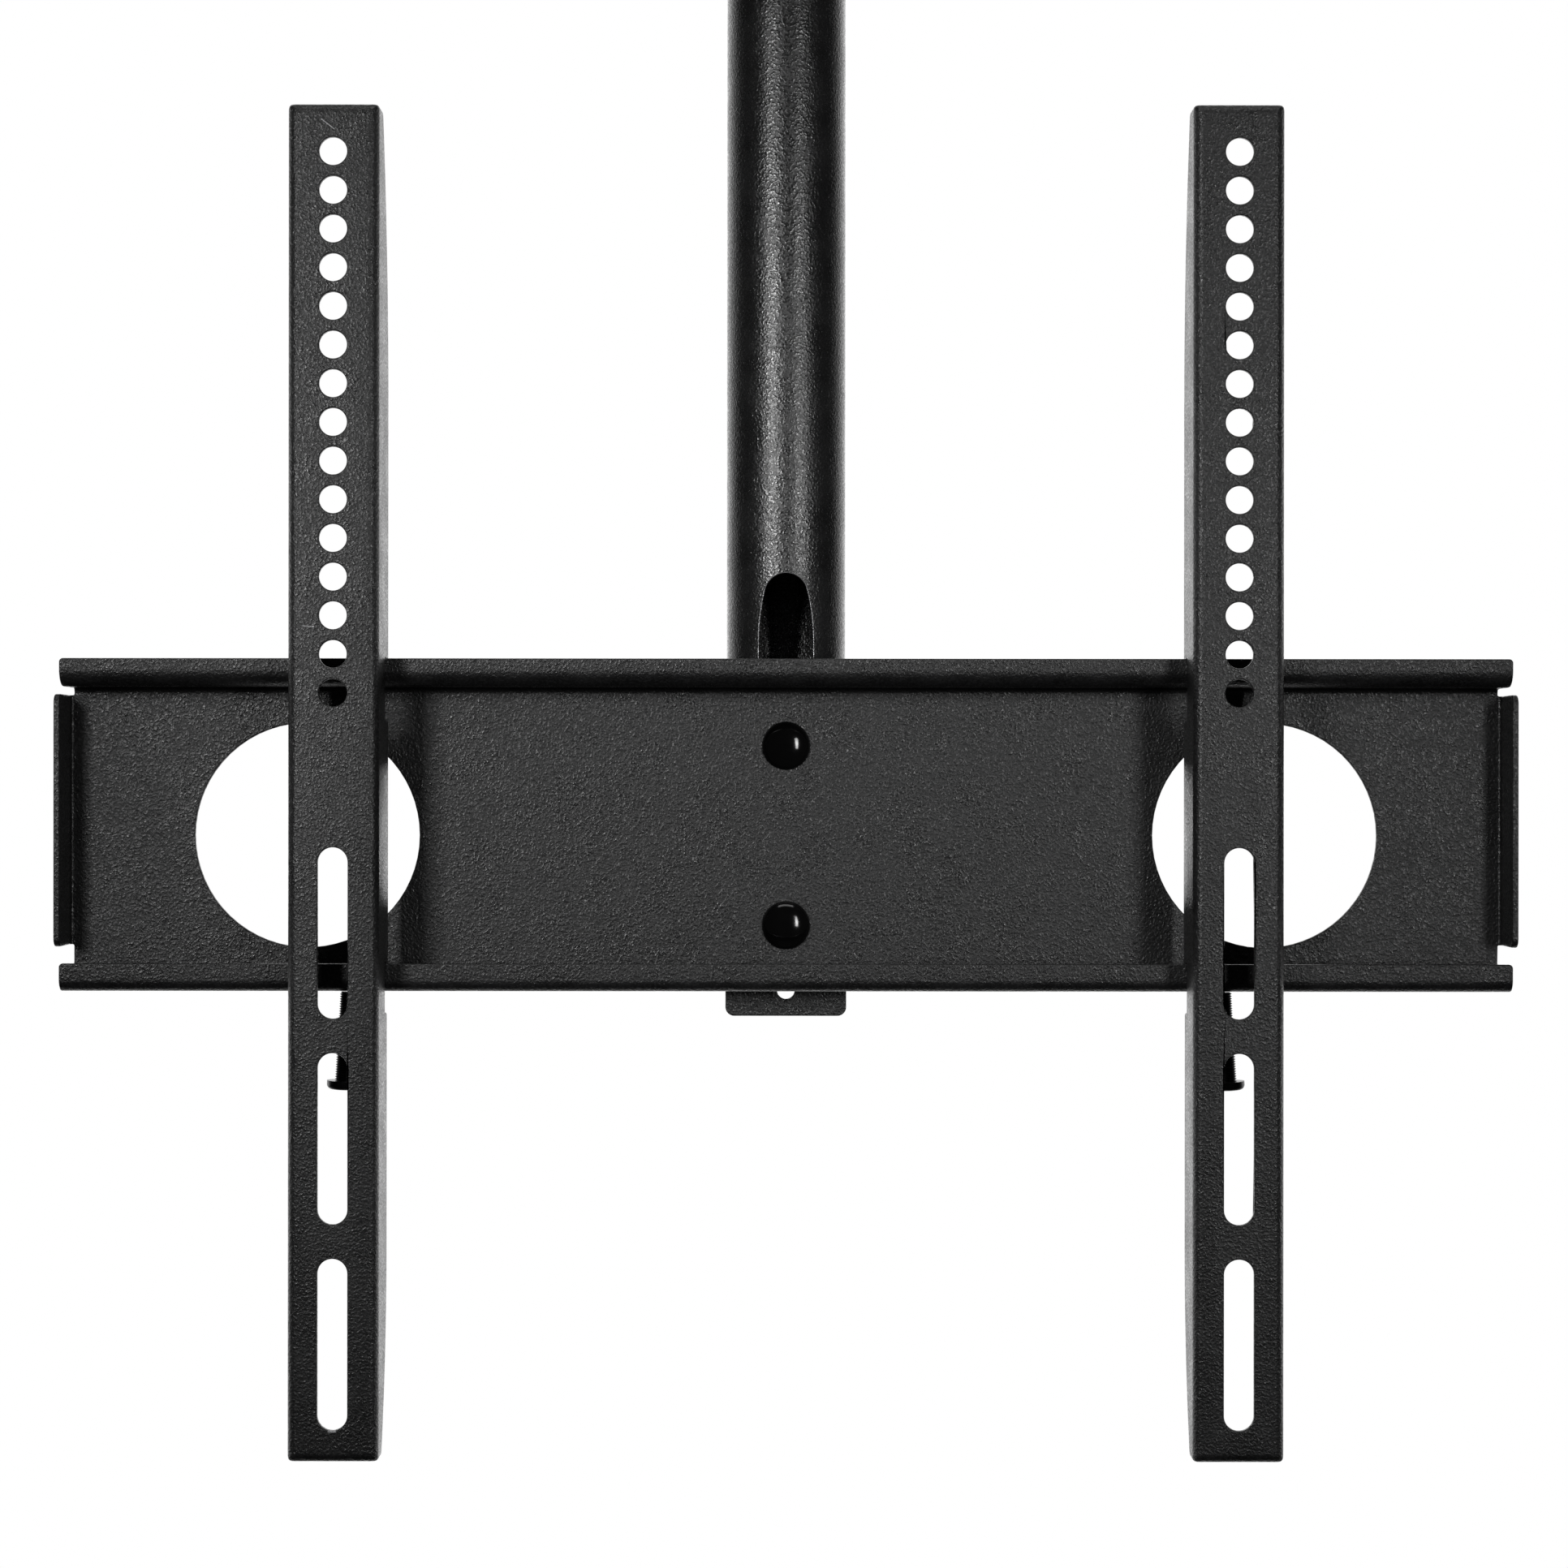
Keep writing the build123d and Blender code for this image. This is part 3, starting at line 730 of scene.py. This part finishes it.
def lock_screw(node_name, axis):
    """Screw from its head's face at height 0 up to its tip, placed on the packed screw: recessed face,
    quarter turn, head's side and underside, thread and a closed tip."""
    points = mesh_points(frame["nodes"][node_name].data)
    reach = points @ axis
    length = reach.max() - reach.min()
    shank = points[reach > reach.min() + pan_height + head_margin]
    centre = (shank.min(axis=0) + shank.max(axis=0)) / 2
    foot = centre + axis * (reach.min() - centre @ axis)
    face_r = np.linspace(0, pan_radius - pan_round, pan_rows)[:, None]
    face = rings(face_r, cross_recess(face_r, thread_angle), thread_angle)
    turn = np.linspace(0, np.pi / 2, round_rows)
    edge = np.stack([pan_radius - pan_round + pan_round * np.sin(turn),
                     pan_round - pan_round * np.cos(turn)], axis=1)
    head = turned(edge.tolist() + [(pan_radius, pan_height), (m5_radius, pan_height)], thread_angle)
    rod = thread_rows(m5_radius, m5_pitch, pan_height, length, m5_tip)
    grid = np.concatenate([face, head, rod, pole_row(length, thread_angle)])
    return make_piece(node_name + "_threaded", [placed(grid, foot, axis, (0, -1, 0))], oxide)


for side in ("left", "right"):
    axis = np.array(joints[side + "_lock_travel"]["axis"])
    piece = lock_screw(side + "_lock_screw", axis / np.linalg.norm(axis))
    dress(piece, side + "_lock_screw")
    print(piece.name, len(piece.data.polygons), "faces")

# %% [markdown]
# ## Dome bolts of the rail plate
# Two bolts hold the rail plate on the tilt bracket. Their heads are low glossy domes, each half of a
# flattened ball, and a square neck under the head keeps them from turning. The thread comes out behind
# the bracket, through a washer and a nut.

# %% Make the dome bolts and their nuts
m6_pitch = 0.0010
m6_radius = 0.0030
m6_hex = 0.0100
tip_length = 0.0010
dome_rows = 32
clamped_sheets = 0.005
web_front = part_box("plate_washers")[0].y - clamped_sheets
dome_low, dome_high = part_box("plate_bolts")
dome_radius = (dome_high.x - dome_low.x) / 2
dome_height = web_front - dome_low.y
plate_bolt_heights = (dome_low.z + dome_radius, dome_high.z - dome_radius)


def dome_bolt(thread_start, end):
    """Bolt along +Z from its dome, whose foot is at height 0, to its threaded end: the dome is radius x sin
    and height x -cos over a quarter turn."""
    turn = np.linspace(0, np.pi / 2, dome_rows)
    dome = np.stack([dome_radius * np.sin(turn), -dome_height * np.cos(turn)], axis=1)
    cap = turned(dome.tolist(), thread_angle)
    neck = square_rows(2 * m6_radius, 0, thread_start / 2, thread_angle)
    shank = turned([(m6_radius, thread_start / 2), (m6_radius, thread_start)], thread_angle)
    rod = thread_rows(m6_radius, m6_pitch, thread_start, end, tip_length)
    return np.concatenate([cap, neck, shank, rod, pole_row(end, thread_angle)])


def plain_nut(across, height, bore_r):
    """Hexagon nut that stands on height 0, its last ring the same as its first."""
    body = hex_rows(across, 0, height, hex_angle)
    bore = turned([(bore_r, height), (bore_r, 0)], hex_angle)
    return np.concatenate([bore[1:], body, bore])


def pair_of(grid, start):
    """The same grid at both bolts of the plate, from a depth towards the back."""
    return [placed(grid, (0, start, z), (0, 1, 0), (1, 0, 0)) for z in plate_bolt_heights]


nut_low, nut_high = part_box("plate_nuts")
bolt = dome_bolt(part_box("plate_washers")[0].y - web_front, dome_high.y - web_front)
nut = plain_nut(m6_hex, nut_high.y - nut_low.y, m6_radius)
domes = make_piece("plate_bolts_domed", pair_of(bolt, web_front), enamel)
dress(domes, "plate_bolts")
dress(make_piece("plate_nuts_hex", pair_of(nut, nut_low.y), oxide), "plate_nuts")
print(f"domes {2000 * dome_radius:.1f} mm wide and {1000 * dome_height:.1f} mm high")

# %% [markdown]
# ## Bolts of the tilt joint
# Two hexagon bolts cross the yoke: the upper one is the pivot, and the lower one rides in a curved slot
# and clamps the tilt. Each ends in a lock nut, whose round collar holds a nylon ring that grips the
# thread.

# %% Make the tilt bolts and lock nuts
m8_pitch = 0.00125
m8_radius = 0.0040
m8_hex = 0.0130
m8_head = 0.0053
lock_hex_height = 0.0056
collar_radius = 0.0058
collar_round = 0.0012
collar_rows = 7
insert_depth = 0.0006
shank_past_nut = 0.0030


def hex_bolt(length, thread_start):
    """Hexagon bolt along +Z, its head's top at height 0."""
    head = hex_rows(m8_hex, 0, m8_head, thread_angle)
    shank = turned([(m8_radius, m8_head), (m8_radius, thread_start)], thread_angle)
    rod = thread_rows(m8_radius, m8_pitch, thread_start, length, tip_length)
    return np.concatenate([pole_row(0, thread_angle), head, shank, rod, pole_row(length, thread_angle)])


def lock_nut(height):
    """Lock nut that stands on height 0: hexagon, then a collar rounded over the insert, then the bore."""
    body = hex_rows(m8_hex, 0, lock_hex_height, hex_angle)
    turn = np.linspace(0, np.pi / 2, collar_rows)
    curl = np.stack([collar_radius - collar_round * (1 - np.cos(turn)),
                     height - collar_round * (1 - np.sin(turn))], axis=1)
    inner = [(m8_radius + insert_depth, height), (m8_radius, height - insert_depth), (m8_radius, 0)]
    collar = turned([(collar_radius, lock_hex_height)] + curl.tolist() + inner, hex_angle)
    return np.concatenate([collar[-1:], body, collar])


for bolt_name, nut_name in (("pivot_bolt", "pivot_nut"), ("tilt_lock_bolt", "tilt_lock_nut")):
    low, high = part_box(bolt_name)
    nut_low, nut_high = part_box(nut_name)
    axis_y, axis_z = (low.y + high.y) / 2, (low.z + high.z) / 2
    bolt = hex_bolt(high.x - low.x, nut_low.x - shank_past_nut - low.x)
    nut = lock_nut(nut_high.x - nut_low.x)
    bolt = placed(bolt, (low.x, axis_y, axis_z), (1, 0, 0), (0, 0, -1))
    nut = placed(nut, (nut_low.x, axis_y, axis_z), (1, 0, 0), (0, 0, -1))
    dress(make_piece(bolt_name + "_threaded", [bolt], oxide), bolt_name)
    dress(make_piece(nut_name + "_hex", [nut], oxide), nut_name)
    print(bolt_name, f"{1000 * (high.x - low.x):.1f} mm long")

# %% [markdown]
# ## Weld beads
# The yoke is welded round the back of the pole and the socket under the ceiling plate. A bead is a round
# section carried along an arc: it swells a little with every step of the welder's hand and tapers off
# where the arc starts and stops. The coat lies over it.

# %% Make the weld beads
bead_step = 0.0016
bead_swell = 0.10
bead_rows = 8
bead_taper = 40
bead_sharp = 60
bead_ring = ring_angles(16)
yoke_bead, yoke_arc = 0.0022, (math.radians(-6), math.radians(186))
socket_bead, socket_arc = 0.0026, (0, math.radians(361))


def weld_bead(radius, height, size, start, stop):
    """Bead along an arc about Z: section radius = size x (1 + swell x |sin|) with its ends drawn in."""
    arc = np.linspace(start, stop, int(abs(stop - start) * radius / bead_step * bead_rows))[:, None]
    along = np.linspace(-1, 1, len(arc))[:, None]
    steps = np.abs(np.sin(np.pi * arc * radius / bead_step))
    section = size * (1 + bead_swell * steps) * np.sqrt(1 - along ** bead_taper)
    distance = radius + section * np.cos(bead_ring)
    rise = height + section * np.sin(bead_ring)
    return np.stack([distance * np.cos(arc), distance * np.sin(arc), rise], axis=-1)


yoke_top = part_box("tilt_yoke")[1].z
socket_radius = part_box("ceiling_socket")[1].x
plate_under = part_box("ceiling_plate")[0].z
beads = {
    "yoke_weld": ("hanging_pole", weld_bead(tube_radius, yoke_top, yoke_bead, *yoke_arc)),
    "socket_weld": ("ceiling", weld_bead(socket_radius, plate_under, socket_bead, *socket_arc)),
}
for name, (body, grid) in beads.items():
    piece = make_piece(name, [grid], coat, bead_sharp)
    bpy.context.scene.collection.objects.link(piece)
    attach(piece, body)
    print(name, len(piece.data.polygons), "faces")

# %% [markdown]
# ## Camera
# The photograph was taken square on, from about a metre in front of the arms. Its perspective fixes the
# distance: the arms' side flanges, one arm's depth further back, are seen a few percent smaller.

# %% Camera at the photograph's view
view_distance = 1.050
view_width = 0.5064
view_side = -0.00066
view_height = 0.0172
view_roll = math.radians(-0.05)
nearest = 0.01

camera_data = bpy.data.cameras.new("camera")
camera_data.lens = camera_data.sensor_width * view_distance / view_width
camera_data.clip_start = nearest
camera = bpy.data.objects.new("camera", camera_data)
camera.location = (view_side, arms_face - view_distance, plate_middle + view_height)
camera.rotation_euler = (math.pi / 2, view_roll, 0)
bpy.context.scene.collection.objects.link(camera)
bpy.context.scene.camera = camera
bpy.context.scene.view_settings.view_transform = "Standard"
print(f"lens {camera_data.lens:.1f} mm at {tuple(round(v, 4) for v in camera.location)}")

# %% [markdown]
# ## Studio
# The photograph has a pure white background, a large soft light on the left, a slim one on the right and
# some light from above. The white wall behind the mount matters most: every surface seen edge-on mirrors
# it, which is why the arms' side flanges look pale. The world stands for that wall. It brightens from the
# sides towards +Y, is dim elsewhere, and plain white to the camera.

# %% World
wall_light = 1.8
room_light = 0.02
wall_start, wall_full = 0.3, 1.0
world = bpy.data.worlds.new("studio")
world.use_nodes = True
bpy.context.scene.world = world


def studio_world():
    """White to the camera, bright behind the mount and dim on the other sides."""
    tree = world.node_tree
    sky = tree.nodes["Background"]
    seen = Wire(add_node(tree, "ShaderNodeLightPath").outputs["Is Camera Ray"])
    direction = Wire(add_node(tree, "ShaderNodeTexCoord").outputs["Generated"])
    split = direction.node("ShaderNodeSeparateXYZ", Vector=direction)
    behind = spread(Wire(split.outputs["Y"]), wall_start, wall_full)
    studio = room_light + (wall_light - room_light) * behind
    feed(sky.inputs["Strength"], seen + (1 - seen) * studio)
    feed(sky.inputs["Color"], (1, 1, 1, 1))


studio_world()
print("world white to the camera, wall at", wall_light)

# %% [markdown]
# ## Lights
# Two soft lights in front and one above do the photograph's work. Two more stand a little behind the mount,
# one on each side, and show the arms' flanks to anyone who walks round it. The large light on the left
# would paint a grey window on the two glossy domes, which mirror only the slim light in the photograph, and
# the side lights would broaden the pale edges of the pole. In a studio, a small black flag is held in
# their way, and light linking does the same here.

# %% Set up the lights
aim_point = (0, arms_face, plate_middle + 0.05)
grid_beam = math.radians(44)
left_place = (-0.56, arms_face - 1.05, plate_middle + 0.28)
left_size, left_power = (0.26, 0.45), 0.57
right_place = (0.57, arms_face - 1.05, plate_middle + 0.16)
right_size, right_power = (0.17, 0.58), 0.36
top_place = (0, arms_face - 0.25, plate_middle + 1.1)
top_size, top_power = (0.9, 0.5), 3.0
flank_aside, flank_back = 1.3, 0.35
flank_size, flank_power = (0.8, 0.9), 4.0


def softbox(name, place, size, power, beam=math.pi):
    """Rectangular light that faces the aim point, with its beam held in by a grid."""
    lamp = bpy.data.lights.new(name, "AREA")
    lamp.shape = "RECTANGLE"
    lamp.size, lamp.size_y = size
    lamp.energy = power
    lamp.spread = beam
    light = bpy.data.objects.new(name, lamp)
    light.location = place
    x, y, z = np.array(aim_point) - np.array(place)
    light.rotation_euler = (math.atan2(math.hypot(x, y), -z), 0, math.atan2(-x, y))
    bpy.context.scene.collection.objects.link(light)
    return light


def flag_off(light, pieces):
    """Keeps a light off some pieces, as a small flag in its beam would."""
    shaded = bpy.data.collections.new("flagged_off_" + light.name)
    for piece in pieces:
        shaded.objects.link(piece)
    light.light_linking.receiver_collection = shaded
    for entry in shaded.collection_objects:
        entry.light_linking.link_state = "EXCLUDE"


left_light = softbox("left_softbox", left_place, left_size, left_power, grid_beam)
softbox("right_strip", right_place, right_size, right_power, grid_beam)
softbox("top_softbox", top_place, top_size, top_power)
flag_off(left_light, [domes])
for side, name in ((-1, "left_side_softbox"), (1, "right_side_softbox")):
    flank_place = (flank_aside * side, flank_back, plate_middle)
    flag_off(softbox(name, flank_place, flank_size, flank_power), [domes, tube])

# %% [markdown]
# ## Floor
# A pale floor lies well below the mount. It is out of the photograph's view and only grounds the views
# from other sides, so it fades out towards its rim.

# %% Lay the floor
floor_drop = 0.80
floor_radius = 1.0
floor_fade = (0.2 * floor_radius, 0.97 * floor_radius)
floor_tone = 0.9
floor_rough = 0.9
floor_cover = 0.5
floor_ring = ring_angles(96)
floor_z = cad_low.z - floor_drop


def pale_floor():
    """Round floor well below the mount, its cover fading with the distance from the middle."""
    rim = rings(floor_radius, floor_z, floor_ring)
    mesh = bpy.data.meshes.new("floor")
    mesh.from_pydata(rim.tolist(), [], [list(range(len(rim)))])
    floor = bpy.data.objects.new("floor", mesh)
    finish, shader, place = new_finish("floor_finish")
    split = place.node("ShaderNodeSeparateXYZ", Vector=place)
    flat = place.node("ShaderNodeCombineXYZ", X=Wire(split.outputs["X"]), Y=Wire(split.outputs["Y"]))
    length = place.node("ShaderNodeVectorMath", {"operation": "LENGTH"})
    feed(length.inputs[0], Wire(flat.outputs["Vector"]))
    away = spread(Wire(length.outputs["Value"]), *floor_fade)
    feed(shader.inputs["Base Color"], grey(floor_tone))
    feed(shader.inputs["Roughness"], floor_rough)
    feed(shader.inputs["Alpha"], floor_cover * (1 - away))
    mesh.materials.append(finish)
    bpy.context.scene.collection.objects.link(floor)
    floor.visible_diffuse = False
    floor.visible_glossy = False


pale_floor()
print(f"floor at z = {floor_z:.3f} m")

# %% [markdown]
